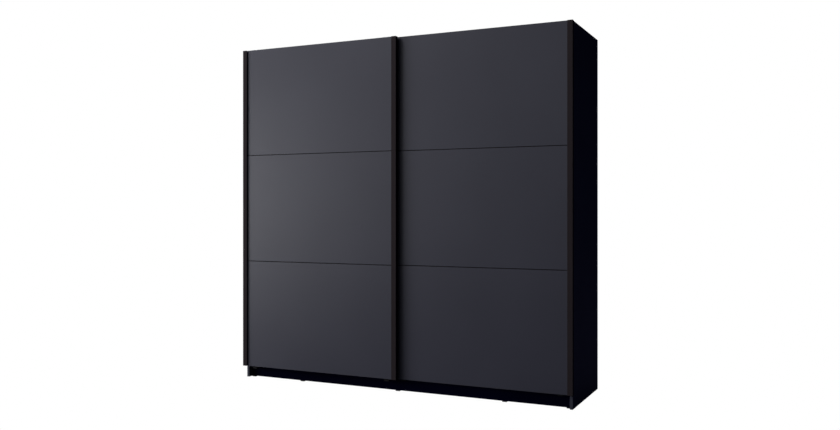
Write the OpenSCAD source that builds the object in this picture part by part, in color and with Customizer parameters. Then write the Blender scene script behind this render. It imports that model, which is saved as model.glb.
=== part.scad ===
// Sliding door wardrobe: a chipboard carcass with two hanging doors that pass in front of it.
// X runs to the right, Y to the back and Z up; the origin is on the floor, under the middle of the
// whole wardrobe. Depths named back, face and front count from the carcass's front edge.

/* [Carcass] */
// Width across the outer faces of the side panels
carcass_w = 2144; // [1700:4:2700]
// Height of the top edge of the side panels above the floor
carcass_h = 2105; // [1750:5:2520]
// Depth of the side panels
carcass_d = 570; // [470:5:690]
// Thickness of the carcass boards
board_t = 16; // [15:1:22]
// Height of the bottom boards' underside above the floor
base_h = 84; // [74:1:120]
// Drop from the side panels' top edge to the top boards' upper face
top_drop = 50; // [48:1:70]
// Height of the nail-in glides under the side panels
side_glide_h = 3; // [2:0.5:5]
// Distance that the toe of each side panel stands out in front, under the doors
toe_reach = 16; // [8:1:24]
// Gap between the toes and the doors' lower edges
toe_gap = 6; // [3:1:12]

/* [Plinth] */
// Setback of the front plinth behind the side panels' front edge
plinth_recess = 18; // [18:1:60]
// Gap between the plinth boards and the floor
plinth_lift = 5; // [3:1:12]
// Width of each plinth glide
plinth_glide_w = 27; // [16:1:40]
// Distance of the inner plinth glides from the outside of the carcass
plinth_glide_x = 400; // [200:10:700]

/* [Back] */
// Thickness of the hardboard back panels
back_t = 3; // [2.5:0.5:5]
// Distance from the back panels' rear face to the carcass's rear edge
back_inset = 12; // [8:1:20]
// Depth of the groove that holds a back panel
back_groove = 5; // [3:0.5:6]

/* [Inside] */
// Clear height between the shelf and the top board
hat_h = 300; // [200:10:420]
// Depth of the shelves
shelf_d = 480; // [380:10:540]
// Drop from the shelf's underside to the clothes rail's centre
rail_drop = 62; // [45:1:120]
// Height of the oval clothes rail's section
rail_h = 30; // [25:1:40]
// Width of the oval clothes rail's section
rail_w = 15; // [12:1:20]
// Wall of the clothes rail
rail_wall = 1.2; // [0.8:0.1:2]

/* [Doors] */
// Thickness of the door panels
door_t = 16; // [14:1:22]
// Height of the doors' lower edge above the floor
door_bottom = 80; // [72:1:100]
// Distance that the doors stand out past each side panel
door_overhang = 3; // [0:1:20]
// Width over which the closed doors overlap in the middle
door_overlap = 50; // [20:2:90]
// Height of the visible joint between two door panels
joint_h = 4.5; // [2:0.5:8]
// Depth that the joint strip lies below the panels' face
joint_recess = 1; // [0.5:0.5:3]

/* [Handle profile] */
// Width of the profile's front plate
profile_w = 30; // [26:1:45]
// Distance that the front plate stands out past the panel face
profile_proud = 10; // [8:1:16]
// Wall of the profile
profile_wall = 2; // [1.5:0.5:3]
// Inner width of the finger pocket behind the plate
pocket_w = 16; // [12:1:20]
// Length of the tongue in the panel's edge
tongue_l = 7; // [5:1:10]
// Thickness of the tongue
tongue_t = 2; // [1.5:0.5:4]

/* [Running gear] */
// Radius of the roller's tread
tread_r = 13; // [10:0.5:16]
// Height of the roller's flanges above the tread
flange_h = 3; // [2:0.5:4]
// Width of the roller
wheel_w = 10; // [8:1:14]
// Radius of the roller's axle
axle_r = 3; // [2.5:0.5:4]
// Width of a hanger plate
hanger_w = 50; // [40:2:80]
// Thickness of the hanger and guide plates
plate_t = 2.5; // [2:0.5:4]
// Distance from a door's side edge to the middle of its hangers and guides
hanger_x = 75; // [60:5:140]
// Width of a running rib of the top track
rib_w = 3; // [2:0.5:5]
// Height of a running rib
rib_h = 8; // [6:0.5:12]
// Thickness of the track's and the guide rail's base
track_t = 2; // [1.5:0.5:3]
// Width of a channel of the bottom guide rail
channel_w = 5.5; // [5:0.5:6]
// Depth of a channel of the bottom guide rail
channel_h = 8; // [6:0.5:10]

/* [Fixings] */
// Radius of the cam fittings
cam_r = 7.4; // [6:0.1:9]
// Distance from a board's end to the cam's centre
cam_reach = 34; // [24:1:40]
// Radius of the cam bolts
cam_bolt_r = 3; // [2.5:0.5:4]
// Depth that a cam bolt goes into an upright board
cam_bolt_in = 6; // [5:0.5:7]
// Radius of the wood screws
screw_r = 1.8; // [1.5:0.1:2.5]
// Radius of the holes that fasten the brackets to the wall
wall_hole_r = 3.5; // [2.5:0.5:5]
// Distance of the wall brackets from the middle of the wardrobe
wall_bracket_x = 500; // [200:10:800]

/* [Clearances] */
// Gap between the carcass and the back of the rear door
door_gap = 2.5; // [2:0.5:5]
// Gap between the rear door's handle profile and the front door
doors_gap = 2.5; // [2:0.5:5]
// Gap round a piece that sits in a cut or a groove
fit = 0.1; // [0.05:0.05:0.3]
// Radial gap between an axle and its roller
running = 0.05; // [0.02:0.01:0.1]
// Gap between a roller's tread and its rib
roll_gap = 0.3; // [0.1:0.1:0.6]
// Gap beside pieces that pass each other
pass_gap = 1; // [0.6:0.1:2]

/* [Hidden] */
$fn = 48;
LEFT = 0;
RIGHT = 1;

// Carcass levels and places
half_w = carcass_w / 2;
total_w = carcass_w + 2 * door_overhang;
bay_w = (carcass_w - 3 * board_t) / 2;
top_z = carcass_h - top_drop;
bay_floor = base_h + board_t;
bay_ceiling = top_z - board_t;
shelf_z = bay_ceiling - hat_h - board_t;
rail_z = shelf_z - rail_drop;
back_face = carcass_d - back_inset - back_t;
board_d = back_face - fit;
back_joint_web = 1.5;
back_joint_lap = 12;
back_half_w = bay_w / 2 + back_groove - fit - back_joint_web / 2;

// Door stack, counted from the carcass's front edge; towards the viewer is negative
rear_back = -door_gap;
rear_face = rear_back - door_t;
rear_front = rear_face - profile_proud;
front_back = rear_front - doors_gap;
front_face = front_back - door_t;
front_front = front_face - profile_proud;
total_d = carcass_d - front_front;
y_edge = -total_d / 2 - front_front;

// Doors
door_w = (total_w + door_overlap) / 2;
door_h = carcass_h - door_bottom;
seat_x = 2 * profile_wall + pocket_w;
groove_l = tongue_l + 0.5;
nib_x = groove_l + 0.5;
cap_t = 2;

// Top track and hangers
flange_r = tread_r + flange_h;
wheel_side = 1;
lane_front = 4;
leg_w = 30;
plate_foot = 42;
rear_leg = lane_front;
rear_rib = rear_leg + plate_t + wheel_side + wheel_w / 2;
axle_tail = wheel_w / 2 + 1.5;
front_leg = rear_rib + axle_tail + 7;
front_rib = front_leg + plate_t + wheel_side + wheel_w / 2;
track_front = 3;
track_back = front_rib + axle_tail + 4;
rib_top = top_z + track_t + rib_h;
axle_z = rib_top + roll_gap + tread_r;
leg_foot = axle_z - axle_r - 7;
arm_step = 2;
rear_arm = max(carcass_h - 2 * arm_step, axle_z + flange_r + pass_gap + plate_t);
front_arm = max(carcass_h, rear_arm) + arm_step + plate_t;
stop_l = 18;

// Bottom guide rail
guide_front = 1;
guide_rib = 1.5;
guide_w = 3 * guide_rib + 2 * channel_w;
guide_roof = base_h - track_t;
guide_lip = guide_roof - channel_h;
rear_channel = guide_front + guide_rib + channel_w / 2;
front_channel = rear_channel + guide_rib + channel_w;
shoe_gap = 0.5;
shoe_w = channel_w - 2 * shoe_gap;
shoe_l = 30;
shoe_top = guide_roof - 1.5;
rear_foot = guide_lip - 2 - plate_t;
front_foot = rear_foot - 4 - plate_t;

// Screws and small fittings
cam_skin = 4;
head_h = 2.2;
head_r = 2 * screw_r;
screw_l = 12;
pin_r = 2.5;
pin_l = 8;
pin_in = 7;
bracket_w = 40;
bracket_h = 45;
bracket_foot = 50;
bracket_t = 2.5;
cup_t = 2;
cup_l = 9;

function side_sign(side) = side == LEFT ? -1 : 1;
function bay_x(side) = side == LEFT ? -half_w + board_t : board_t / 2;
function door_x(side) = side == LEFT ? -total_w / 2 : total_w / 2 - door_w;
function door_back(side) = side == LEFT ? front_back : rear_back;
function door_face(side) = side == LEFT ? front_face : rear_face;
function leg_y(side) = side == LEFT ? front_leg : rear_leg;
function rib_y(side) = side == LEFT ? front_rib : rear_rib;
function arm_z(side) = side == LEFT ? front_arm : rear_arm;
function channel_y(side) = side == LEFT ? front_channel : rear_channel;
function foot_z(side) = side == LEFT ? front_foot : rear_foot;
function row_z(row) = door_bottom + round(10 * row * (door_h + joint_h) / 3) / 10;
function row_top(row) = row_z(row + 1) - joint_h;
function hanger_places(side) = [door_x(side) + hanger_x, door_x(side) + door_w - hanger_x];
function cam_rows() = [track_back + 50, board_d - 70];
function track_screw_places() =
    let (n = 8, step = (carcass_w - 2 * board_t - 2 * hanger_x) / (n - 1))
    [for (i = [0 : n - 1]) (i - (n - 1) / 2) * step];
function guide_screw_places() =
    let (n = 6, step = (carcass_w - 2 * board_t - 2 * hanger_x) / (n - 1))
    [for (i = [0 : n - 1]) (i - (n - 1) / 2) * step];

// A box from its low and high corners, with depths counted from the carcass's front edge
module block(low, high) {
    translate([low[0], y_edge + low[1], low[2]])
        cube([high[0] - low[0], high[1] - low[1], high[2] - low[2]]);
}

// A round bar along X, Y or Z that starts at a point
module bar_x(p, r, l) {
    translate([p[0], y_edge + p[1], p[2]]) rotate([0, 90, 0]) cylinder(r = r, h = l);
}

module bar_y(p, r, l) {
    translate([p[0], y_edge + p[1], p[2]]) rotate([-90, 0, 0]) cylinder(r = r, h = l);
}

module bar_z(p, r, l) {
    translate([p[0], y_edge + p[1], p[2]]) cylinder(r = r, h = l);
}

// ---- Fixings shared by the boards ----

// Cam centres along a board of one bay: [x, direction of the bolt]
function cam_ends(side) = [[bay_x(side) + cam_reach, -1], [bay_x(side) + bay_w - cam_reach, 1]];

// One side's bolts at a level; gap widens them into the holes that hold them
module cam_bolt_row(side, z, gap) {
    for (e = cam_ends(side), y = cam_rows()) {
        x0 = e[1] < 0 ? bay_x(side) - cam_bolt_in - gap : e[0];
        bar_x([x0, y, z], cam_bolt_r + gap, cam_reach + cam_bolt_in + gap);
    }
}

// Cams at a level; they open upwards from a top board and downwards from a bottom board
module cam_row(side, z, gap) {
    for (e = cam_ends(side), y = cam_rows())
        bar_z([e[0], y, z - gap], cam_r + gap, board_t - cam_skin + 2 * gap);
}

top_bolt_z = top_z - board_t / 2;
bottom_bolt_z = base_h + board_t / 2;
top_cam_z = top_z - board_t + cam_skin;
bottom_cam_z = base_h;

module upright_bores(side) {
    cam_bolt_row(side, top_bolt_z, fit);
    cam_bolt_row(side, bottom_bolt_z, fit);
    shelf_pin_row(side, fit / 2);
}

module cam_fittings() {
    color([0.72, 0.72, 0.7])
        for (side = [LEFT, RIGHT], z = [bottom_cam_z, top_cam_z])
            difference() {
                cam_row(side, z, 0);
                cam_bolt_row(side, z == top_cam_z ? top_bolt_z : bottom_bolt_z, fit);
            }
}

module cam_bolts() {
    color([0.62, 0.62, 0.62])
        for (side = [LEFT, RIGHT], z = [bottom_bolt_z, top_bolt_z])
            cam_bolt_row(side, z, 0);
}

// ---- Upright boards ----

// The groove that holds the back panels, cut from one face of an upright
module back_slot(x0, x1) {
    block([x0, back_face - fit, base_h - 1], [x1, back_face + back_t + fit, top_z + 1]);
}

// A side panel is cut back for the doors, all but a toe at its foot
module side_panel(side) {
    outer = side_sign(side) * half_w;
    inner = outer - side_sign(side) * board_t;
    slot = inner + side_sign(side) * back_groove;
    x0 = min(outer, inner);
    color([0.16, 0.165, 0.18])
        difference() {
            union() {
                block([x0, 0, side_glide_h], [x0 + board_t, carcass_d, carcass_h]);
                block([x0, -toe_reach, side_glide_h], [x0 + board_t, 1, door_bottom - toe_gap]);
            }
            back_slot(min(slot, inner - side_sign(side)), max(slot, inner - side_sign(side)));
            upright_bores(side);
            bracket_bores(side);
        }
}

module left_side() {
    side_panel(LEFT);
}

module right_side() {
    side_panel(RIGHT);
}

module centre_partition() {
    color([0.2, 0.2, 0.21])
        difference() {
            block([-board_t / 2, 0, base_h], [board_t / 2, carcass_d, top_z]);
            for (s = [-1, 1]) {
                edge = s * board_t / 2;
                slot = edge - s * back_groove;
                back_slot(min(slot, edge + s), max(slot, edge + s));
            }
            upright_bores(LEFT);
            upright_bores(RIGHT);
            bracket_bores(LEFT);
            bracket_bores(RIGHT);
        }
}

// ---- Top and bottom boards ----

module top_board(side) {
    color([0.2, 0.2, 0.21])
        difference() {
            block([bay_x(side), 0, bay_ceiling], [bay_x(side) + bay_w, board_d, top_z]);
            cam_bolt_row(side, top_bolt_z, fit);
            cam_row(side, top_cam_z, fit);
            track_screw_row(fit);
            wall_bracket_screws(fit);
        }
}

module top_board_left() {
    top_board(LEFT);
}

module top_board_right() {
    top_board(RIGHT);
}

module bottom_board(side) {
    color([0.2, 0.2, 0.21])
        difference() {
            block([bay_x(side), 0, base_h], [bay_x(side) + bay_w, board_d, bay_floor]);
            cam_bolt_row(side, bottom_bolt_z, fit);
            cam_row(side, bottom_cam_z, fit);
            guide_screw_row(fit);
        }
}

module bottom_board_left() {
    bottom_board(LEFT);
}

module bottom_board_right() {
    bottom_board(RIGHT);
}

// ---- Back: two hardboard sheets to a bay, joined by an H strip ----

module back_panel(side, half) {
    middle = bay_x(side) + bay_w / 2;
    x0 = half == LEFT ? middle - back_joint_web / 2 - back_half_w : middle + back_joint_web / 2;
    color([0.3, 0.29, 0.28])
        block([x0 + fit, back_face, base_h], [x0 + back_half_w - fit, back_face + back_t, top_z]);
}

module back_panel_1() {
    back_panel(LEFT, LEFT);
}

module back_panel_2() {
    back_panel(LEFT, RIGHT);
}

module back_panel_3() {
    back_panel(RIGHT, LEFT);
}

module back_panel_4() {
    back_panel(RIGHT, RIGHT);
}

module back_joint_strips() {
    low_z = bay_floor + 1;
    high_z = bay_ceiling - 1;
    color([0.12, 0.12, 0.12])
        for (side = [LEFT, RIGHT]) {
            middle = bay_x(side) + bay_w / 2;
            web = back_joint_web / 2;
            block([middle - web, back_face - 1, low_z], [middle + web, back_face + back_t + 1, high_z]);
            for (y = [back_face - fit - 1, back_face + back_t + fit])
                block([middle - back_joint_lap, y, low_z], [middle + back_joint_lap, y + 1, high_z]);
        }
}

// ---- Plinth and glides ----

module plinth_board(y) {
    color([0.09, 0.09, 0.1])
        block([-half_w + board_t, y, plinth_lift], [half_w - board_t, y + board_t, base_h]);
}

plinth_rear_y = back_face - board_t - 20;

module plinth_front() {
    plinth_board(plinth_recess);
}

module plinth_rear() {
    plinth_board(plinth_rear_y);
}

module plinth_cross() {
    color([0.09, 0.09, 0.1])
        block([-board_t / 2, plinth_recess + board_t, plinth_lift],
              [board_t / 2, plinth_rear_y, base_h]);
}

// Places of the glides under a plinth board: its two ends, two inner pairs and the middle
function plinth_glide_places() =
    let (inner = half_w - plinth_glide_x, end = half_w - board_t - plinth_glide_w / 2)
    [-end, -inner, 0, inner, end];

module plinth_glides() {
    color([0.05, 0.05, 0.05])
        for (x = plinth_glide_places(), y = [plinth_recess, plinth_rear_y])
            block([x - plinth_glide_w / 2, y - 1, 0],
                  [x + plinth_glide_w / 2, y + board_t + 1, plinth_lift]);
}

module side_glides() {
    color([0.05, 0.05, 0.05])
        for (s = [-1, 1], y = [40, carcass_d / 2, carcass_d - 40])
            bar_z([s * (half_w - board_t / 2), y, 0], board_t / 2 - 1, side_glide_h);
}

// ---- Shelves and their pins ----

shelf_back = board_d - 2;

module shelf(side) {
    color([0.2, 0.2, 0.21])
        block([bay_x(side) + pass_gap, shelf_back - shelf_d, shelf_z],
              [bay_x(side) + bay_w - pass_gap, shelf_back, shelf_z + board_t]);
}

module shelf_left() {
    shelf(LEFT);
}

module shelf_right() {
    shelf(RIGHT);
}

// Pins under both ends of a bay's shelf; gap widens them into their holes
module shelf_pin_row(side, gap) {
    for (s = [0, 1], y = [shelf_back - shelf_d + 50, shelf_back - 50]) {
        wall = bay_x(side) + s * bay_w;
        x0 = s == 0 ? wall - pin_in - gap : wall - pin_l;
        bar_x([x0, y, shelf_z - pin_r], pin_r + gap, pin_in + pin_l + gap);
    }
}

module shelf_pins() {
    color([0.75, 0.75, 0.76])
        for (side = [LEFT, RIGHT])
            shelf_pin_row(side, 0);
}

// ---- Clothes rails and their end brackets ----

rail_y = shelf_back - shelf_d / 2;
rail_end = cup_t + 1;

// Upright oval in the plane of a bay's wall, as a square with a round end above and below
module oval(w, h) {
    square([h - w, w], center = true);
    for (s = [-1, 1])
        translate([s * (h - w) / 2, 0]) circle(d = w);
}

module oval_bar(x, l, w, h) {
    translate([x, y_edge + rail_y, rail_z]) rotate([0, 90, 0]) linear_extrude(l) oval(w, h);
}

module clothes_rail(side) {
    color([0.78, 0.78, 0.8])
        difference() {
            oval_bar(bay_x(side) + rail_end, bay_w - 2 * rail_end, rail_w, rail_h);
            oval_bar(bay_x(side), bay_w, rail_w - 2 * rail_wall, rail_h - 2 * rail_wall);
        }
}

module clothes_rail_left() {
    clothes_rail(LEFT);
}

module clothes_rail_right() {
    clothes_rail(RIGHT);
}

// The two screws of each rail bracket run into the wall above and below the rail
module bracket_bores(side) {
    bracket_screw_row(side, fit);
}

bracket_screw_z = rail_h / 2 + cup_t + 5;

module bracket_screw_row(side, gap) {
    for (s = [0, 1], dz = [-1, 1]) {
        wall = bay_x(side) + s * bay_w;
        x0 = s == 0 ? wall - pin_in - gap : wall;
        bar_x([x0, rail_y, rail_z + dz * bracket_screw_z], screw_r + gap, pin_in + gap);
    }
}

module rail_brackets() {
    cup_w = rail_w + 2 * fit + 2 * cup_t;
    cup_h = rail_h + 2 * fit + 2 * cup_t;
    flange_l = cup_h + 20;
    color([0.7, 0.7, 0.72])
        for (side = [LEFT, RIGHT], s = [0, 1]) {
            wall = bay_x(side) + s * bay_w;
            difference() {
                union() {
                    oval_bar(s == 0 ? wall : wall - cup_t, cup_t, cup_w, flange_l);
                    oval_bar(s == 0 ? wall : wall - cup_l, cup_l, cup_w, cup_h);
                    for (dz = [-1, 1])
                        bar_x([s == 0 ? wall - pin_in : wall - cup_t - 1, rail_y,
                               rail_z + dz * bracket_screw_z], screw_r, pin_in + cup_t + 1);
                }
                oval_bar(s == 0 ? wall + cup_t : wall - cup_l - 1, cup_l - cup_t + 1,
                         rail_w + 2 * fit, rail_h + 2 * fit);
            }
        }
}

// ---- Top track: one extrusion with a running rib for each door ----

module top_track() {
    end = half_w - board_t - 1;
    color([0.76, 0.77, 0.79])
        difference() {
            union() {
                block([-end, track_front, top_z], [end, track_back, top_z + track_t]);
                for (side = [LEFT, RIGHT])
                    block([-end, rib_y(side) - rib_w / 2, top_z + track_t],
                          [end, rib_y(side) + rib_w / 2, rib_top]);
            }
            track_screw_row(fit);
        }
}

track_screw_y = (rear_rib + front_rib) / 2;

module track_screw_row(gap) {
    for (x = track_screw_places())
        bar_z([x, track_screw_y, top_z - screw_l - gap], screw_r + gap, screw_l + track_t + gap);
}

module track_screws() {
    color([0.7, 0.7, 0.72]) {
        track_screw_row(0);
        for (x = track_screw_places())
            bar_z([x, track_screw_y, top_z + track_t], head_r, head_h);
    }
}

// Rubber stops at both ends of each rib, one pass gap beyond the roller's last place
module track_stops() {
    reach = total_w / 2 - hanger_x + flange_r + pass_gap;
    stop_z = top_z + track_t;
    color([0.08, 0.08, 0.08])
        for (side = [LEFT, RIGHT], s = [-1, 1])
            difference() {
                block([min(s * reach, s * (reach + stop_l)), rib_y(side) - 6, stop_z],
                      [max(s * reach, s * (reach + stop_l)), rib_y(side) + 6, axle_z + 4]);
                block([-half_w, rib_y(side) - rib_w / 2 - fit, stop_z - 1],
                      [half_w, rib_y(side) + rib_w / 2 + fit, rib_top + fit]);
            }
}

// ---- Bottom guide rail: one extrusion with two channels that open downwards ----

module guide_rail() {
    end = half_w - board_t - 1;
    color([0.2, 0.2, 0.21])
        difference() {
            union() {
                block([-end, guide_front, guide_roof], [end, guide_front + guide_w, base_h]);
                for (i = [0 : 2]) {
                    y = guide_front + i * (guide_rib + channel_w);
                    block([-end, y, guide_lip], [end, y + guide_rib, guide_roof]);
                }
            }
            guide_screw_row(fit);
        }
}

module guide_screw_row(gap) {
    for (x = guide_screw_places())
        bar_z([x, rear_channel, guide_roof - gap], screw_r + gap, track_t + screw_l + 2 * gap);
}

module guide_rail_screws() {
    color([0.7, 0.7, 0.72]) {
        guide_screw_row(0);
        for (x = guide_screw_places())
            bar_z([x, rear_channel, guide_roof - 1], channel_w / 2 - 0.5, 1);
    }
}

// ---- Wall brackets: angles on the top boards that stop the wardrobe tipping forwards ----

wall_hole_z = top_z + 28;

module wall_bracket_screws(gap) {
    for (s = [-1, 1], dx = [-10, 10])
        bar_z([s * wall_bracket_x + dx, carcass_d - bracket_foot + 12, top_z - screw_l - gap],
              screw_r + gap, screw_l + bracket_t + gap);
}

module wall_brackets() {
    color([0.66, 0.66, 0.68]) {
        for (s = [-1, 1])
            difference() {
                x = s * wall_bracket_x;
                union() {
                    block([x - bracket_w / 2, carcass_d - bracket_foot, top_z],
                          [x + bracket_w / 2, carcass_d, top_z + bracket_t]);
                    block([x - bracket_w / 2, carcass_d - bracket_t, top_z],
                          [x + bracket_w / 2, carcass_d, top_z + bracket_h]);
                }
                bar_y([x, carcass_d - bracket_t - 1, wall_hole_z], wall_hole_r, bracket_t + 2);
            }
        wall_bracket_screws(0);
        for (s = [-1, 1], dx = [-10, 10])
            bar_z([s * wall_bracket_x + dx, carcass_d - bracket_foot + 12, top_z + bracket_t],
                  head_r, head_h);
    }
}

// ---- Door panels ----

// Grooves in a panel's edges for the tongues of the profiles and the joint strips
module edge_grooves(side, row) {
    x0 = door_x(side) + seat_x;
    x1 = door_x(side) + door_w - seat_x;
    z0 = row_z(row);
    z1 = row_top(row);
    y0 = door_back(side) - (door_t + tongue_t) / 2 - fit;
    y1 = y0 + tongue_t + 2 * fit;
    block([x0 - 1, y0, z0 - 1], [x0 + groove_l, y1, z1 + 1]);
    block([x1 - groove_l, y0, z0 - 1], [x1 + 1, y1, z1 + 1]);
    if (row > 0) block([x0 - 1, y0, z0 - 1], [x1 + 1, y1, z0 + groove_l]);
    if (row < 2) block([x0 - 1, y0, z1 - groove_l], [x1 + 1, y1, z1 + 1]);
}

module door_panel(side, row) {
    color([0.25, 0.255, 0.27])
        difference() {
            block([door_x(side) + seat_x, door_face(side), row_z(row)],
                  [door_x(side) + door_w - seat_x, door_back(side), row_top(row)]);
            edge_grooves(side, row);
            if (row == 2) hanger_pockets(side);
            if (row == 0) guide_pockets(side);
        }
}

// Pockets in the back of the top and bottom panels that take the plates flush
module hanger_pockets(side) {
    for (x = hanger_places(side)) {
        block([x - hanger_w / 2 - fit, door_back(side) - plate_t - fit, carcass_h - plate_foot - fit],
              [x + hanger_w / 2 + fit, door_back(side) + 1, carcass_h + 1]);
        plate_screws(side, x, hanger_screw_z, fit);
    }
}

module guide_pockets(side) {
    for (x = hanger_places(side)) {
        block([x - shoe_l / 2 - fit, door_back(side) - plate_t - fit, door_bottom - 1],
              [x + shoe_l / 2 + fit, door_back(side) + 1, door_bottom + plate_foot + fit]);
        plate_screws(side, x, guide_screw_z, fit);
    }
}

hanger_screw_z = carcass_h - 28;
guide_screw_z = door_bottom + 28;

// Two countersunk screws through a plate in a door's back, side by side
module plate_screws(side, x, z, gap) {
    for (dx = [-8, 8]) {
        bar_y([x + dx, door_back(side) - screw_l - gap, z], screw_r + gap, screw_l + gap);
        translate([x + dx, y_edge + door_back(side) - head_h, z])
            rotate([-90, 0, 0])
                cylinder(r1 = screw_r + gap, r2 = head_r + gap, h = head_h);
    }
}

module door_screws(side) {
    color([0.7, 0.7, 0.72])
        for (x = hanger_places(side), z = [hanger_screw_z, guide_screw_z])
            plate_screws(side, x, z, 0);
}

// ---- Joint strips between the door panels ----

module joint_strips(side) {
    x0 = door_x(side) + seat_x;
    x1 = door_x(side) + door_w - seat_x;
    back = door_back(side);
    tongue_y = back - (door_t + tongue_t) / 2;
    face = door_face(side) + joint_recess;
    color([0.06, 0.06, 0.065])
        for (row = [0, 1]) {
            z = row_top(row);
            block([x0 + nib_x, face, z], [x1 - nib_x, back, z + joint_h]);
            block([x0, face, z], [x1, tongue_y - fit, z + joint_h]);
            block([x0 + nib_x, tongue_y, z - tongue_l],
                  [x1 - nib_x, tongue_y + tongue_t, z + joint_h + tongue_l]);
        }
}

// ---- Handle profiles: aluminium edge extrusions with a finger pocket ----

// Section with its outer face at x = 0 and the panel's back at y = 0, the front at negative y
module handle_section() {
    deep = door_t + profile_proud;
    translate([0, -deep]) square([profile_wall, deep]);
    translate([0, -deep]) square([profile_w, profile_wall]);
    translate([0, -profile_wall]) square([seat_x, profile_wall]);
    translate([seat_x - profile_wall, -door_t]) square([profile_wall, door_t]);
    translate([seat_x - profile_wall, -(door_t + tongue_t) / 2])
        square([profile_wall + tongue_l, tongue_t]);
}

module at_door_edge(side, edge) {
    x = edge == LEFT ? door_x(side) : door_x(side) + door_w;
    translate([x, y_edge + door_back(side), 0]) mirror([edge == LEFT ? 0 : 1, 0, 0]) children();
}

module handle_profile(side, edge) {
    color([0.12, 0.105, 0.1])
        at_door_edge(side, edge)
            translate([0, 0, door_bottom]) linear_extrude(door_h) handle_section();
}

// Plastic caps that close the finger pocket at the foot and head of each profile
module end_caps(side) {
    deep = door_t + profile_proud - profile_wall;
    color([0.05, 0.05, 0.05])
        for (edge = [LEFT, RIGHT], z = [door_bottom, carcass_h - cap_t])
            at_door_edge(side, edge)
                translate([profile_wall + fit, -deep + fit, z])
                    cube([pocket_w - 2 * fit, deep - profile_wall - 2 * fit, cap_t]);
}

// ---- Hangers, axles and rollers ----

// A bent steel plate: let into the door's back, up, back over the track and down to the axle
module hangers(side) {
    back = door_back(side);
    leg = leg_y(side);
    z = arm_z(side);
    color([0.6, 0.6, 0.62])
        for (x = hanger_places(side))
            difference() {
                union() {
                    block([x - hanger_w / 2, back - plate_t, carcass_h - plate_foot],
                          [x + hanger_w / 2, back, z]);
                    block([x - hanger_w / 2, back - plate_t, z - plate_t],
                          [x + hanger_w / 2, leg + plate_t, z]);
                    block([x - leg_w / 2, leg, leg_foot], [x + leg_w / 2, leg + plate_t, z]);
                }
                plate_screws(side, x, hanger_screw_z, fit);
                bar_y([x, leg - 1, axle_z], axle_r + running, plate_t + 2);
            }
}

module axles(side) {
    color([0.5, 0.5, 0.52])
        for (x = hanger_places(side)) {
            bar_y([x, leg_y(side) - 1, axle_z], axle_r + 1.5, 1);
            bar_y([x, leg_y(side) - 1, axle_z], axle_r, rib_y(side) + axle_tail - leg_y(side) + 1);
            bar_y([x, rib_y(side) + wheel_w / 2 + 0.5, axle_z],
                  axle_r + 1, axle_tail - wheel_w / 2 - 0.5);
        }
}

// Nylon roller with a grooved tread, centred on its rib, with six holes through its disc
module roller(side, place) {
    half = wheel_w / 2;
    groove = rib_w / 2 + 0.5;
    holes = 6;
    hole_r = (tread_r - axle_r) / 2 * 0.42;
    hole_ring = (tread_r + axle_r) / 2;
    color([0.9, 0.9, 0.88])
        translate([hanger_places(side)[place], y_edge + rib_y(side), axle_z])
            rotate([-90, 0, 0])
                difference() {
                    rotate_extrude()
                        polygon([
                            [axle_r + running, -half], [flange_r - 0.5, -half], [flange_r, -half + 0.5],
                            [flange_r, -groove - 1], [tread_r, -groove], [tread_r, groove],
                            [flange_r, groove + 1], [flange_r, half - 0.5], [flange_r - 0.5, half],
                            [axle_r + running, half]
                        ]);
                    for (i = [0 : holes - 1])
                        rotate([0, 0, i * 360 / holes])
                            translate([hole_ring, 0, -half - 1]) cylinder(r = hole_r, h = wheel_w + 2);
                }
}

// ---- Bottom guides ----

// A bent plate let into the door's back that reaches under the guide rail
module guide_arms(side) {
    back = door_back(side);
    z = foot_z(side);
    reach = channel_y(side) + channel_w / 2 + 0.25;
    color([0.1, 0.1, 0.1])
        for (x = hanger_places(side))
            difference() {
                union() {
                    block([x - shoe_l / 2, back - plate_t, z],
                          [x + shoe_l / 2, back, door_bottom + plate_foot]);
                    block([x - shoe_l / 2, back - plate_t, z], [x + shoe_l / 2, reach, z + plate_t]);
                }
                plate_screws(side, x, guide_screw_z, fit);
            }
}

module guide_shoes(side) {
    y = channel_y(side);
    z = foot_z(side) + plate_t;
    color([0.05, 0.05, 0.05])
        for (x = hanger_places(side))
            block([x - shoe_l / 2, y - shoe_w / 2, z], [x + shoe_l / 2, y + shoe_w / 2, shoe_top]);
}

left_side();
right_side();
centre_partition();
top_board_left();
top_board_right();
bottom_board_left();
bottom_board_right();
back_panel_1();
back_panel_2();
back_panel_3();
back_panel_4();
back_joint_strips();
plinth_front();
plinth_rear();
plinth_cross();
plinth_glides();
side_glides();
shelf_left();
shelf_right();
clothes_rail_left();
clothes_rail_right();
rail_brackets();
shelf_pins();
cam_fittings();
cam_bolts();
top_track();
track_screws();
track_stops();
guide_rail();
guide_rail_screws();
wall_brackets();
door_panel(LEFT, 0);  // left_door_panel_bottom
door_panel(LEFT, 1);  // left_door_panel_middle
door_panel(LEFT, 2);  // left_door_panel_top
joint_strips(LEFT);  // left_door_joint_strips
handle_profile(LEFT, LEFT);  // left_door_handle_left
handle_profile(LEFT, RIGHT);  // left_door_handle_right
end_caps(LEFT);  // left_door_end_caps
hangers(LEFT);  // left_door_hangers
axles(LEFT);  // left_door_axles
guide_arms(LEFT);  // left_door_guide_arms
guide_shoes(LEFT);  // left_door_guide_shoes
door_screws(LEFT);  // left_door_screws
door_panel(RIGHT, 0);  // right_door_panel_bottom
door_panel(RIGHT, 1);  // right_door_panel_middle
door_panel(RIGHT, 2);  // right_door_panel_top
joint_strips(RIGHT);  // right_door_joint_strips
handle_profile(RIGHT, LEFT);  // right_door_handle_left
handle_profile(RIGHT, RIGHT);  // right_door_handle_right
end_caps(RIGHT);  // right_door_end_caps
hangers(RIGHT);  // right_door_hangers
axles(RIGHT);  // right_door_axles
guide_arms(RIGHT);  // right_door_guide_arms
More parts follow.
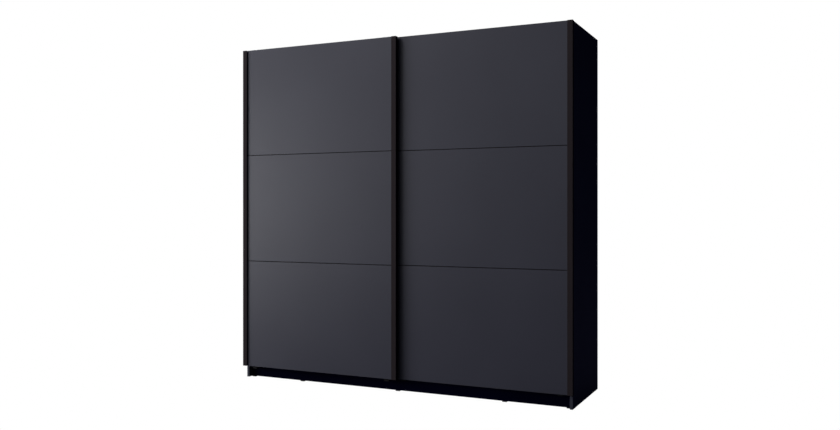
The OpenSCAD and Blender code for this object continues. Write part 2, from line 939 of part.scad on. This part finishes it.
guide_shoes(RIGHT);  // right_door_guide_shoes
door_screws(RIGHT);  // right_door_screws
roller(LEFT, 0);  // left_door_roller_left
roller(LEFT, 1);  // left_door_roller_right
roller(RIGHT, 0);  // right_door_roller_left
roller(RIGHT, 1);  // right_door_roller_right
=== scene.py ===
import math

import bmesh
import bpy
from mathutils import Matrix, Vector


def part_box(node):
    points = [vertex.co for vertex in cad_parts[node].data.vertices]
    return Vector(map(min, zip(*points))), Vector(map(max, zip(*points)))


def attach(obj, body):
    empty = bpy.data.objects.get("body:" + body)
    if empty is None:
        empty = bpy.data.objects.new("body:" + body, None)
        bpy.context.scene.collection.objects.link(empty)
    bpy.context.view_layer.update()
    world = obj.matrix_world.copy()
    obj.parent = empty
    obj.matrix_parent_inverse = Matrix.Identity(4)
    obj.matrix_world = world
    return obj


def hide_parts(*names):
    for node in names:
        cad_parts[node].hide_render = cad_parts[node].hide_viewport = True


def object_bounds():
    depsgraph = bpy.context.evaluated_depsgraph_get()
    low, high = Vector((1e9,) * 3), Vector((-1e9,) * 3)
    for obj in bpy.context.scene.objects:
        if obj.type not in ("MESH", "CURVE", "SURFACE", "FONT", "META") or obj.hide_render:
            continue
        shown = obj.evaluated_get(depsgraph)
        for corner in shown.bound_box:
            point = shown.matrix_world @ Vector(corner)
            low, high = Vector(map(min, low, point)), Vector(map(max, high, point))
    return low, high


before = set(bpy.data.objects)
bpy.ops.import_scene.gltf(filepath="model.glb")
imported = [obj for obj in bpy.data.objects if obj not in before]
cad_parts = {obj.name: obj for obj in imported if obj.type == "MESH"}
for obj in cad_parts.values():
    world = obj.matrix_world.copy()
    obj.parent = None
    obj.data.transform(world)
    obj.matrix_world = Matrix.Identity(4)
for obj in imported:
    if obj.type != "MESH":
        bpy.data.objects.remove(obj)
cad_low, cad_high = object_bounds()
scene = bpy.context.scene
side_low, side_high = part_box("right_side")

# ---- Camera ----
# It stands to the right of the wardrobe at chest height and looks level, so that the upright
# edges of the boards stay upright. All sizes here are in metres, in the wardrobe's own frame.
SENSOR_WIDTH = 36.0
FOCAL_LENGTH = 35.67
QUARTER_TURN = math.radians(90)
CAMERA_TURN = math.radians(25.045)
CAMERA_PAST_SIDE = 1.1532
CAMERA_HEIGHT = 1.0764
CAMERA_DISTANCE = 4.4123
LENS_SHIFT = -0.00505

camera_data = bpy.data.cameras.new("camera")
camera_data.sensor_width = SENSOR_WIDTH
camera_data.lens = FOCAL_LENGTH
camera_data.shift_y = LENS_SHIFT
camera = bpy.data.objects.new("camera", camera_data)
camera.location = (side_high.x + CAMERA_PAST_SIDE, side_low.y - CAMERA_DISTANCE, CAMERA_HEIGHT)
camera.rotation_euler = (QUARTER_TURN, 0, CAMERA_TURN)
scene.collection.objects.link(camera)
scene.camera = camera

# ---- Lights, background and floor ----
# A large soft box far to the left gives the doors their slow fade towards the right, a second
# one lies in the doors' gloss, and a third hangs above. Two more reach the back and the right
# side. The room is white to the eye, but lights the piece only from its front left.
scene.view_settings.view_transform = "Standard"


def soft_box(name, place, target, size, watts, colour=(1, 1, 1)):
    """A square soft box at a place, turned to a target."""
    data = bpy.data.lights.new(name, "AREA")
    data.shape = "SQUARE"
    data.size = size
    data.energy = watts
    data.color = colour
    lamp = bpy.data.objects.new(name, data)
    lamp.location = place
    aim = Vector(target) - Vector(place)
    lamp.rotation_euler = aim.to_track_quat("-Z", "Y").to_euler()
    scene.collection.objects.link(lamp)


LEFT_DOOR_MIDDLE = (-0.5, 0, 1.1)
COOL_BLUE = (0.38, 0.42, 1.0)
soft_box("left_light", (-6.0, -3.0, 1.2), LEFT_DOOR_MIDDLE, size=2.5, watts=260)
soft_box("gloss_light", (-5.4, -5.6, 1.2), LEFT_DOOR_MIDDLE, size=3.0, watts=76)
soft_box("top_light", (-2.2, -2.6, 4.4), (0, 0, 1.1), size=1.2, watts=67)
soft_box("rear_light", (-3.4, 4.2, 3.0), (-0.2, 0.3, 1.1), size=2.4, watts=330)
soft_box("right_light", (4.5, -0.6, 0.5), (1.0, 0.1, 0.6), size=1.2, watts=7, colour=COOL_BLUE)

WHITE = (1, 1, 1, 1)
ROOM_SIDE = (-0.85, -0.5, 0.15)
ROOM_SHADE_FROM, ROOM_LIGHT_FROM = 0.1, 0.9
ROOM_SHADE = (0.0008, 0.0008, 0.006, 1)
ROOM_LIGHT = (0.92, 0.92, 0.92, 1)
world = bpy.data.worlds.new("studio")
world.use_nodes = True
scene.world = world
sky = world.node_tree.nodes
sky_links = world.node_tree.links
sky.clear()
direction = sky.new("ShaderNodeTexCoord")
lean = sky.new("ShaderNodeVectorMath")
lean.operation = "DOT_PRODUCT"
lean.inputs[1].default_value = ROOM_SIDE
sky_links.new(direction.outputs["Generated"], lean.inputs[0])
level = sky.new("ShaderNodeMapRange")
level.inputs["From Min"].default_value = ROOM_SHADE_FROM
level.inputs["From Max"].default_value = ROOM_LIGHT_FROM
sky_links.new(lean.outputs["Value"], level.inputs["Value"])
shades = sky.new("ShaderNodeMix")
shades.data_type = "RGBA"
shades.inputs["A"].default_value = ROOM_SHADE
shades.inputs["B"].default_value = ROOM_LIGHT
sky_links.new(level.outputs[0], shades.inputs["Factor"])
room = sky.new("ShaderNodeBackground")
sky_links.new(shades.outputs["Result"], room.inputs["Color"])
backdrop = sky.new("ShaderNodeBackground")
backdrop.inputs["Color"].default_value = WHITE
ray = sky.new("ShaderNodeLightPath")
seen = sky.new("ShaderNodeMixShader")
sky_links.new(ray.outputs["Is Camera Ray"], seen.inputs["Fac"])
sky_links.new(room.outputs[0], seen.inputs[1])
sky_links.new(backdrop.outputs[0], seen.inputs[2])
sky_links.new(seen.outputs[0], sky.new("ShaderNodeOutputWorld").inputs["Surface"])

FLOOR_HALF = 14.0
FLOOR_BOUNCE = (0.03, 0.03, 0.05, 1)
floor_mesh = bpy.data.meshes.new("floor")
corners = [(-FLOOR_HALF, -FLOOR_HALF, 0), (FLOOR_HALF, -FLOOR_HALF, 0),
           (FLOOR_HALF, FLOOR_HALF, 0), (-FLOOR_HALF, FLOOR_HALF, 0)]
floor_mesh.from_pydata(corners, [], [(0, 1, 2, 3)])
floor = bpy.data.objects.new("floor", floor_mesh)
scene.collection.objects.link(floor)

pale = bpy.data.materials.new("pale_floor")
pale.use_nodes = True
paint = pale.node_tree.nodes
paint_links = pale.node_tree.links
paint.clear()
glow = paint.new("ShaderNodeEmission")
glow.inputs["Color"].default_value = WHITE
bounce = paint.new("ShaderNodeBsdfDiffuse")
bounce.inputs["Color"].default_value = FLOOR_BOUNCE
floor_ray = paint.new("ShaderNodeLightPath")
floor_seen = paint.new("ShaderNodeMixShader")
paint_links.new(floor_ray.outputs["Is Camera Ray"], floor_seen.inputs["Fac"])
paint_links.new(bounce.outputs[0], floor_seen.inputs[1])
paint_links.new(glow.outputs[0], floor_seen.inputs[2])
paint_links.new(floor_seen.outputs[0], paint.new("ShaderNodeOutputMaterial").inputs["Surface"])
floor.data.materials.append(pale)

# ---- Side panels ----
# Two full-height chipboard sides, faced with a matte graphite foil that has a fine powdery
# grain. Their front edges are banded; the rear edges, against the wall, are raw board.
RAW_BAND = 0.0006
PORES_A_METRE = 1400
CLOUDS_A_METRE = 2.3
CHIPS_A_METRE = 420
CHIP_DARK, CHIP_PALE = (0.16, 0.1, 0.055), (0.42, 0.3, 0.18)
SHARP_EDGE = math.radians(40)
FLAT_ENOUGH = math.radians(0.5)
SAME_POINT = 0.000002


class Finish:
    """A material with one principled shader, and short ways to paint it."""

    def __init__(self, name, roughness, metallic=0.0, specular=0.5):
        self.material = bpy.data.materials.new(name)
        self.material.use_nodes = True
        self.tree = self.material.node_tree
        self.shader = self.tree.nodes["Principled BSDF"]
        self.shader.inputs["Roughness"].default_value = roughness
        self.shader.inputs["Metallic"].default_value = metallic
        self.shader.inputs["Specular IOR Level"].default_value = specular
        self.place = self.tree.nodes.new("ShaderNodeTexCoord").outputs["Object"]

    def noise(self, grains, stretch=(1, 1, 1), detail=2.0):
        """Noise of so many grains a metre, stretched along the axes."""
        mapping = self.tree.nodes.new("ShaderNodeMapping")
        mapping.inputs["Scale"].default_value = stretch
        self.tree.links.new(self.place, mapping.inputs["Vector"])
        grain = self.tree.nodes.new("ShaderNodeTexNoise")
        grain.inputs["Scale"].default_value = grains
        grain.inputs["Detail"].default_value = detail
        self.tree.links.new(mapping.outputs[0], grain.inputs["Vector"])
        return grain.outputs["Fac"]

    def cells(self, grains):
        """Small cells of random shade, for the chips in a raw edge."""
        cell = self.tree.nodes.new("ShaderNodeTexVoronoi")
        cell.inputs["Scale"].default_value = grains
        self.tree.links.new(self.place, cell.inputs["Vector"])
        return cell.outputs["Color"]

    def blend(self, factor, low, high, start=0.3, stop=0.7):
        """A colour from low to high as factor goes from start to stop."""
        ramp = self.tree.nodes.new("ShaderNodeValToRGB")
        ramp.color_ramp.elements[0].position = start
        ramp.color_ramp.elements[0].color = (*low, 1)
        ramp.color_ramp.elements[1].position = stop
        ramp.color_ramp.elements[1].color = (*high, 1)
        self.tree.links.new(factor, ramp.inputs["Fac"])
        return ramp.outputs["Color"]

    def sum(self, first, second, weight):
        """first plus weight times second, less half the weight, so that the middle stays put."""
        scaled = self.tree.nodes.new("ShaderNodeMath")
        scaled.operation = "MULTIPLY_ADD"
        scaled.inputs[1].default_value = weight
        scaled.inputs[2].default_value = -weight / 2
        self.tree.links.new(second, scaled.inputs[0])
        total = self.tree.nodes.new("ShaderNodeMath")
        total.operation = "ADD"
        self.tree.links.new(first, total.inputs[0])
        self.tree.links.new(scaled.outputs[0], total.inputs[1])
        return total.outputs[0]

    def colour(self, output):
        """Paints the surface with a colour."""
        self.tree.links.new(output, self.shader.inputs["Base Color"])

    def roughness(self, factor, low, high):
        """Roughness between two values, following a factor."""
        spread = self.tree.nodes.new("ShaderNodeMapRange")
        spread.inputs["From Min"].default_value = 0.3
        spread.inputs["From Max"].default_value = 0.7
        spread.inputs["To Min"].default_value = low
        spread.inputs["To Max"].default_value = high
        self.tree.links.new(factor, spread.inputs["Value"])
        self.tree.links.new(spread.outputs[0], self.shader.inputs["Roughness"])

    def relief(self, factor, depth, strength=0.6):
        """A bump of a depth in metres."""
        bump = self.tree.nodes.new("ShaderNodeBump")
        bump.inputs["Strength"].default_value = strength
        bump.inputs["Distance"].default_value = depth
        self.tree.links.new(factor, bump.inputs["Height"])
        self.tree.links.new(bump.outputs[0], self.shader.inputs["Normal"])

    def beyond(self, axis, limit, inside, outside):
        """One colour up to a limit along an axis of the wardrobe, another past it."""
        split = self.tree.nodes.new("ShaderNodeSeparateXYZ")
        self.tree.links.new(self.place, split.inputs[0])
        past = self.tree.nodes.new("ShaderNodeMath")
        past.operation = "GREATER_THAN"
        past.inputs[1].default_value = limit
        self.tree.links.new(split.outputs[axis], past.inputs[0])
        mix = self.tree.nodes.new("ShaderNodeMix")
        mix.data_type = "RGBA"
        self.tree.links.new(past.outputs[0], mix.inputs["Factor"])
        self.tree.links.new(inside, mix.inputs["A"])
        self.tree.links.new(outside, mix.inputs["B"])
        return mix.outputs["Result"]


def foil_faced(name, low, high, roughness, specular, raw_from=None):
    """Chipboard faced with matte foil; past raw_from along Y its edge shows bare chips."""
    finish = Finish(name, roughness, specular=specular)
    pores = finish.noise(grains=PORES_A_METRE, detail=3.0)
    clouds = finish.noise(grains=CLOUDS_A_METRE, detail=1.0)
    face = finish.blend(finish.sum(clouds, pores, weight=0.5), low, high, start=0.1, stop=0.9)
    if raw_from is not None:
        chips = finish.cells(grains=CHIPS_A_METRE)
        raw = finish.blend(chips, CHIP_DARK, CHIP_PALE, start=0.1, stop=0.9)
        face = finish.beyond("Y", raw_from, face, raw)
    finish.colour(face)
    finish.roughness(pores, roughness - 0.05, roughness + 0.05)
    finish.relief(pores, depth=0.00012)
    return finish.material


def dress(node, material, radius, segments=2):
    """Gives a CAD piece its finish, and breaks its sharp edges with a small radius."""
    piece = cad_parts[node]
    piece.data.materials.clear()
    piece.data.materials.append(material)
    weld = piece.modifiers.new("weld", "WELD")
    weld.merge_threshold = SAME_POINT
    flat = piece.modifiers.new("whole_faces", "DECIMATE")
    flat.decimate_type = "DISSOLVE"
    flat.angle_limit = FLAT_ENOUGH
    edge = piece.modifiers.new("broken_edges", "BEVEL")
    edge.width = radius
    edge.segments = segments
    edge.limit_method = "ANGLE"
    edge.angle_limit = SHARP_EDGE
    piece.modifiers.new("even_shading", "WEIGHTED_NORMAL").weight = 100
    return piece


graphite = foil_faced("graphite_foil", (0.03, 0.031, 0.044), (0.038, 0.039, 0.056),
                      roughness=0.5, specular=0.1, raw_from=side_high.y - RAW_BAND)
for side in ("left_side", "right_side"):
    dress(side, graphite, radius=0.0006)

# ---- Centre partition, top, bottom and shelf boards ----
# Interior boards of the same chipboard in a dark linen-look decor, cut to a bay's width. The
# partition is grooved for the back panels on both faces and carries the middle of the track.
decor = Finish("linen_decor", 0.6)
THREADS_A_METRE = 900
LONG = 0.05
thread_ways = ((LONG, 1, 1), (1, LONG, 1), (1, 1, LONG))
threads = [decor.noise(grains=THREADS_A_METRE, stretch=way) for way in thread_ways]
crossed = decor.sum(threads[0], threads[1], weight=1.0)
weave = decor.sum(crossed, threads[2], weight=1.0)
cloth = decor.blend(weave, (0.042, 0.041, 0.044), (0.084, 0.082, 0.085), start=0.1, stop=0.9)
decor.colour(cloth)
decor.relief(weave, depth=0.0001)
for board in ("centre_partition", "top_board_left", "top_board_right", "bottom_board_left",
              "bottom_board_right", "shelf_left", "shelf_right"):
    dress(board, decor.material, radius=0.0005)

# ---- Back panels and their joint strips ----
# Thin hardboard, lacquered dark on the inside and bare brown fibre behind. Two sheets meet in
# the middle of each bay in a black plastic H strip.
hardboard = Finish("hardboard", 0.7)
pulp = hardboard.noise(grains=900, detail=6.0)
press_marks = hardboard.noise(grains=6, detail=3.0)
fibres = hardboard.sum(pulp, press_marks, weight=0.6)
lacquer = hardboard.blend(fibres, (0.06, 0.058, 0.058), (0.085, 0.082, 0.08))
fibre = hardboard.blend(fibres, (0.17, 0.11, 0.065), (0.27, 0.18, 0.108))
back_low, back_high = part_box("back_panel_1")
hardboard.colour(hardboard.beyond("Y", (back_low.y + back_high.y) / 2, lacquer, fibre))
hardboard.relief(fibres, depth=0.0002)
for number in range(1, 5):
    dress(f"back_panel_{number}", hardboard.material, radius=0.0002, segments=1)


def moulded(name, low, high, roughness, specular=0.5):
    """Moulded plastic with the faint orange peel of its tool."""
    finish = Finish(name, roughness, specular=specular)
    peel = finish.noise(grains=600, detail=1.0)
    finish.colour(finish.blend(peel, low, high))
    finish.roughness(peel, roughness - 0.06, roughness + 0.06)
    finish.relief(peel, depth=0.00008)
    return finish.material


black_plastic = moulded("black_plastic", (0.012, 0.012, 0.013), (0.02, 0.02, 0.021),
                        roughness=0.5)
dress("back_joint_strips", black_plastic, radius=0.0003, segments=1)

# ---- Plinth and glides ----
# Black-foiled boards under the bottom boards, set back from the doors, with a cross board in
# # the middle. The foil's colour is black foil made far darker and tinted navy blue, which is
# # painted shade from the overhanging doors. They stand on moulded glides, and the sides on small
# nail-in ones.
# Near-black navy base colour: real black foil plus painted shade under the doors.
plinth_foil_painted_shade = foil_faced("plinth_foil_painted_shade", (0.0003, 0.0003, 0.0048), (0.0007, 0.0007, 0.0082),
                         roughness=0.7, specular=0.008)
for board in ("plinth_front", "plinth_rear", "plinth_cross"):
    dress(board, plinth_foil_painted_shade, radius=0.0005)
for glides in ("plinth_glides", "side_glides"):
    dress(glides, black_plastic, radius=0.0008)

# ---- Clothes rails and their end brackets ----
# Oval tubes of thin satin-anodised aluminium, one to a bay. Their ends sit in plated cups that
# two screws hold to the boards on either side.
DRAWN_OUT = 0.004


def drawn_metal(name, low, high, roughness, along):
    """Anodised extrusion: fine lines that run along one axis, and a metal sheen."""
    finish = Finish(name, roughness, metallic=0.85)
    stretch = [1.0, 1.0, 1.0]
    stretch["XYZ".index(along)] = DRAWN_OUT
    lines = finish.noise(grains=1500, stretch=stretch, detail=3.0)
    finish.colour(finish.blend(lines, low, high))
    finish.roughness(lines, roughness - 0.07, roughness + 0.07)
    finish.relief(lines, depth=0.00003)
    return finish.material


aluminium = drawn_metal("satin_aluminium", (0.56, 0.57, 0.59), (0.68, 0.69, 0.71),
                        roughness=0.32, along="X")


def plated(name, low, high, roughness):
    """Zinc-plated steel: a fine satin grain with a faint cloud of the bath over it."""
    finish = Finish(name, roughness, metallic=1.0)
    grain = finish.noise(grains=2400, detail=3.0)
    bath = finish.noise(grains=90, detail=2.0)
    satin = finish.sum(grain, bath, weight=0.5)
    finish.colour(finish.blend(satin, low, high, start=0.1, stop=0.9))
    finish.roughness(grain, roughness - 0.05, roughness + 0.05)
    finish.relief(grain, depth=0.000006)
    return finish.material


zinc = plated("zinc_plate", (0.52, 0.53, 0.55), (0.64, 0.65, 0.67), roughness=0.38)
for rail in ("clothes_rail_left", "clothes_rail_right"):
    dress(rail, aluminium, radius=0.0002, segments=1)
dress("rail_brackets", zinc, radius=0.0006)

# ---- Shelf pins, cams and screws ----
# The shelves lie on plated pins. The boards are drawn to the uprights by cam bolts, which cams
# with a cross recess lock; all the other fixings are cross-head wood screws.
dress("shelf_pins", zinc, radius=0.0003)
dress("cam_bolts", zinc, radius=0.0003)
ROUND_STEPS = 40


def solid_boxes(node):
    """The low and high corner of each separate solid in a CAD node."""
    mesh = bmesh.new()
    mesh.from_mesh(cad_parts[node].data)
    bmesh.ops.remove_doubles(mesh, verts=mesh.verts, dist=SAME_POINT)
    boxes = []
    waiting = set(mesh.verts)
    while waiting:
        island = [waiting.pop()]
        for vertex in island:
            for edge in vertex.link_edges:
                other = edge.other_vert(vertex)
                if other in waiting:
                    waiting.remove(other)
                    island.append(other)
        low = Vector([min(v.co[i] for v in island) for i in range(3)])
        high = Vector([max(v.co[i] for v in island) for i in range(3)])
        boxes.append((low, high))
    mesh.free()
    return sorted(boxes, key=lambda b: tuple(b[0]))


def turned(outline):
    """A closed body turned about Z from an outline of (radius, height) points."""
    mesh = bmesh.new()
    profile = [mesh.verts.new((r, 0, z)) for r, z in outline]
    edges = [mesh.edges.new(pair) for pair in zip(profile, profile[1:])]
    bmesh.ops.spin(mesh, geom=profile + edges, cent=(0, 0, 0), axis=(0, 0, 1),
                   angle=math.tau, steps=ROUND_STEPS, use_duplicate=False)
    bmesh.ops.remove_doubles(mesh, verts=mesh.verts, dist=0.000001)
    bmesh.ops.recalc_face_normals(mesh, faces=mesh.faces)
    made = bpy.data.meshes.new("turned")
    mesh.to_mesh(made)
    mesh.free()
    return made


def cross_recessed(mesh, size, depth):
    """The same body with a cross recess cut down into its top, which is at height 0."""
    above = 0.0002
    blade_w = size * 0.2
    foot_taper = 0.55
    cutter = bmesh.new()
    for turn in (0, QUARTER_TURN):
        blade = bmesh.ops.create_cube(cutter, size=1.0)["verts"]
        bmesh.ops.scale(cutter, vec=(size, blade_w, depth + above), verts=blade)
        bmesh.ops.translate(cutter, vec=(0, 0, (above - depth) / 2), verts=blade)
        for vertex in blade:
            if vertex.co.z < 0:
                vertex.co.x *= foot_taper
        about_z = Matrix.Rotation(turn, 3, "Z")
        bmesh.ops.rotate(cutter, cent=(0, 0, 0), matrix=about_z, verts=blade)
    cutting = bpy.data.meshes.new("cross")
    cutter.to_mesh(cutting)
    cutter.free()
    body = bpy.data.objects.new("body", mesh)
    tool = bpy.data.objects.new("tool", cutting)
    for thing in (body, tool):
        scene.collection.objects.link(thing)
    cut = body.modifiers.new("cut", "BOOLEAN")
    cut.operation = "DIFFERENCE"
    cut.solver = "EXACT"
    cut.use_self = True
    cut.object = tool
    bpy.context.view_layer.update()
    made = bpy.data.meshes.new_from_object(body.evaluated_get(bpy.context.evaluated_depsgraph_get()))
    bpy.data.objects.remove(body)
    bpy.data.objects.remove(tool)
    return made


def copies(name, mesh, places, material, body, node):
    """One piece made of copies of a mesh, which stands for a CAD node and rides on its body."""
    whole = bmesh.new()
    for place in places:
        before = len(whole.verts)
        whole.from_mesh(mesh)
        whole.verts.ensure_lookup_table()
        bmesh.ops.transform(whole, matrix=place, verts=whole.verts[before:])
    made = bpy.data.meshes.new(name)
    whole.to_mesh(made)
    whole.free()
    made.shade_smooth()
    made.materials.clear()
    made.materials.append(material)
    piece = bpy.data.objects.new(name, made)
    scene.collection.objects.link(piece)
    piece.modifiers.new("even_shading", "WEIGHTED_NORMAL").weight = 80
    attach(piece, body)
    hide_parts(node)
    return piece


def facing(box, axis, sign):
    """A place at the middle of a box's face along an axis, with local Z pointing out of it."""
    low, high = box
    spot = (low + high) / 2
    number = "XYZ".index(axis)
    spot[number] = high[number] if sign > 0 else low[number]
    way = Vector((0, 0, 0))
    way[number] = sign
    turn = way.to_track_quat("Z", "Y").to_matrix().to_4x4()
    return Matrix.Translation(spot) @ turn


cam_boxes = solid_boxes("cam_fittings")
cam_low, cam_high = cam_boxes[0]
cam_radius = (cam_high.x - cam_low.x) / 2
cam_height = cam_high.z - cam_low.z
rim_step = 0.0004
rim_w = 0.0008
rim_inner = cam_radius - rim_w - rim_step
cam_outline = [(0, 0), (rim_inner, 0), (rim_inner + rim_step, -rim_step),
               (cam_radius - rim_step / 2, -rim_step), (cam_radius, -rim_w),
               (cam_radius, -cam_height), (0, -cam_height)]
cam_body = cross_recessed(turned(cam_outline), size=0.007, depth=0.003)
half_way_up = cad_high.z / 2
cam_places = [facing(b, "Z", 1 if b[0].z > half_way_up else -1) for b in cam_boxes]
copies("cams", cam_body, cam_places, zinc, "carcass", "cam_fittings")


def pan_screw(shank_radius, head_radius, head_height, length):
    """A pan-head wood screw whose head top is at height 0 and rounds off to a straight rim."""
    crown = head_height * 0.35
    dome = [(0, 0), (0.55, 0.2), (0.85, 0.65), (1, 1.6)]
    head = [(head_radius * out, -crown * down) for out, down in dome]
    shank = [(head_radius, -head_height), (shank_radius, -head_height),
             (shank_radius, -length), (0, -length)]
    return cross_recessed(turned(head + shank), size=head_radius * 1.1, depth=head_height * 0.7)


def screws_for(node, name, axis, sign, head_height, body="carcass"):
    """Pan-head screws in place of a CAD node's plain ones, whose heads face along an axis."""
    boxes = solid_boxes(node)
    low, high = boxes[0]
    number = "XYZ".index(axis)
    across = (number + 1) % 3
    head_radius = (high[across] - low[across]) / 2
    mesh = pan_screw(head_radius / 2, head_radius, head_height, high[number] - low[number])
    copies(name, mesh, [facing(b, axis, sign) for b in boxes], zinc, body, node)


# ---- Top track, its screws and its stops ----
# One aluminium extrusion along the top boards with a running rib for each door, screwed down
# between the ribs. A rubber block at each end of each rib stops the rollers.
dress("top_track", aluminium, radius=0.0003)
screws_for("track_screws", "track_screw_set", "Z", 1, head_height=0.0022)
rubber = moulded("stop_rubber", (0.01, 0.01, 0.01), (0.017, 0.017, 0.016), roughness=0.75)
dress("track_stops", rubber, radius=0.0012, segments=3)

# ---- Bottom guide rail and its screws ----
# A dark anodised extrusion under the front of the bottom boards, with two channels that open
# downwards; the doors' guide shoes run in them.
dark_aluminium = drawn_metal("dark_aluminium", (0.03, 0.03, 0.032), (0.045, 0.045, 0.048),
                             roughness=0.4, along="X")
dress("guide_rail", dark_aluminium, radius=0.0002, segments=1)
screws_for("guide_rail_screws", "guide_rail_screw_set", "Z", -1, head_height=0.001)

# ---- Wall brackets ----
# Two plated steel angles on the top boards at the very back. A wall screw through the upright
# leg of each keeps the wardrobe from tipping forwards.
dress("wall_brackets", zinc, radius=0.0006)

# ---- Door panels ----
# Three equal chipboard panels to a door, in graphite foil with a soft sheen, banded on their
# edges. They are grooved all round for the joint strips and the handle profiles.
door_foil = foil_faced("door_foil", (0.0268, 0.0273, 0.041), (0.0333, 0.0338, 0.0495),
                       roughness=0.4, specular=0.25)
for door in ("left_door", "right_door"):
    for row in ("bottom", "middle", "top"):
        dress(f"{door}_panel_{row}", door_foil, radius=0.0007, segments=3)

# ---- Joint strips ----
# Thin H-shaped strips of black plastic, pressed into the grooves between the panels. Their
# visible edge lies a millimetre below the panels' face.
strip_plastic = moulded("strip_plastic", (0.004, 0.004, 0.005), (0.007, 0.007, 0.009),
                        roughness=0.7, specular=0.05)
for door in ("left_door", "right_door"):
    dress(f"{door}_joint_strips", strip_plastic, radius=0.0003, segments=1)

# ---- Handle profiles and their end caps ----
# Extruded aluminium in a brown-black anodised finish, the full height of the door. Its front
# plate stands off the panel and hides a pocket for the fingertips; plastic caps close its ends.
anodised = Finish("brown_black_anodised", 0.7, specular=0.01)
die_lines = anodised.noise(grains=1300, stretch=(1, 1, 0.003), detail=3.0)
anodised.colour(anodised.blend(die_lines, (0.019, 0.0154, 0.0174), (0.0252, 0.0204, 0.023)))
anodised.roughness(die_lines, low=0.62, high=0.78)
anodised.relief(die_lines, depth=0.00002)
for door in ("left_door", "right_door"):
    for edge in ("left", "right"):
        dress(f"{door}_handle_{edge}", anodised.material, radius=0.0006, segments=3)
    dress(f"{door}_end_caps", black_plastic, radius=0.0004)

# ---- Hangers, axles and rollers ----
# Each door hangs on two bent steel plates let into its back. A riveted axle through each plate
# carries a white nylon roller with a grooved tread, which turns on a small shielded bearing.
nylon = moulded("white_nylon", (0.7, 0.69, 0.65), (0.78, 0.77, 0.73), roughness=0.42)
steel = plated("bright_steel", (0.42, 0.43, 0.45), (0.58, 0.59, 0.6), roughness=0.28)
BEARING_REACH = 0.0003
BEARING_INNER = 0.0032
BEARING_OUTER = 0.0056
BEARING_CHAMFER = 0.0004
for door in ("left_door", "right_door"):
    dress(f"{door}_hangers", zinc, radius=0.0007, segments=3)
    dress(f"{door}_axles", steel, radius=0.0003)
    for place in ("left", "right"):
        node = f"{door}_roller_{place}"
        dress(node, nylon, radius=0.0003)
        low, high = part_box(node)
        half = (high.y - low.y) / 2
        reach = half + BEARING_REACH
        flat = BEARING_OUTER - BEARING_CHAMFER
        ring = [(BEARING_INNER, reach), (flat, reach), (BEARING_OUTER, half),
                (BEARING_OUTER, -half), (flat, -reach), (BEARING_INNER, -reach),
                (BEARING_INNER, reach)]
        shield = turned(ring)
        shield.shade_smooth()
        shield.materials.append(steel)
        bearing = bpy.data.objects.new(f"{door}_bearing_{place}", shield)
        bearing.location = (low + high) / 2
        bearing.rotation_euler = (QUARTER_TURN, 0, 0)
        scene.collection.objects.link(bearing)
        bearing.modifiers.new("even_shading", "WEIGHTED_NORMAL")
        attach(bearing, f"{node}_body")

# ---- Guide arms and shoes ----
# Black-painted steel arms let into the foot of each door. They reach under the guide rail and
# carry shoes of black plastic, which keep the doors from swinging out.
black_paint = moulded("black_paint", (0.006, 0.006, 0.007), (0.01, 0.01, 0.011),
                      roughness=0.65, specular=0.06)
for door in ("left_door", "right_door"):
    dress(f"{door}_guide_arms", black_paint, radius=0.0006, segments=3)
    dress(f"{door}_guide_shoes", black_plastic, radius=0.0008, segments=3)

# ---- Door screws ----
# Countersunk cross-head screws of plated steel, driven into the backs of the door panels. They
# hold the hangers and the guide arms in their pockets.
DOOR_SCREW_HEAD = 0.0022


def countersunk_screw(shank_radius, head_radius, head_height, length):
    """A countersunk wood screw whose flat head is at height 0."""
    rim = 0.0002
    outline = [(0, 0), (head_radius - rim, 0), (head_radius, -rim),
               (shank_radius, -head_height), (shank_radius, -length), (0, -length)]
    return cross_recessed(turned(outline), size=head_radius * 1.15, depth=head_height * 0.75)


for door in ("left_door", "right_door"):
    boxes = solid_boxes(f"{door}_screws")
    low, high = boxes[0]
    radius = (high.x - low.x) / 2
    mesh = countersunk_screw(radius / 2, radius, DOOR_SCREW_HEAD, high.y - low.y)
    copies(f"{door}_screw_set", mesh, [facing(b, "Y", 1) for b in boxes], zinc, door,
           f"{door}_screws")
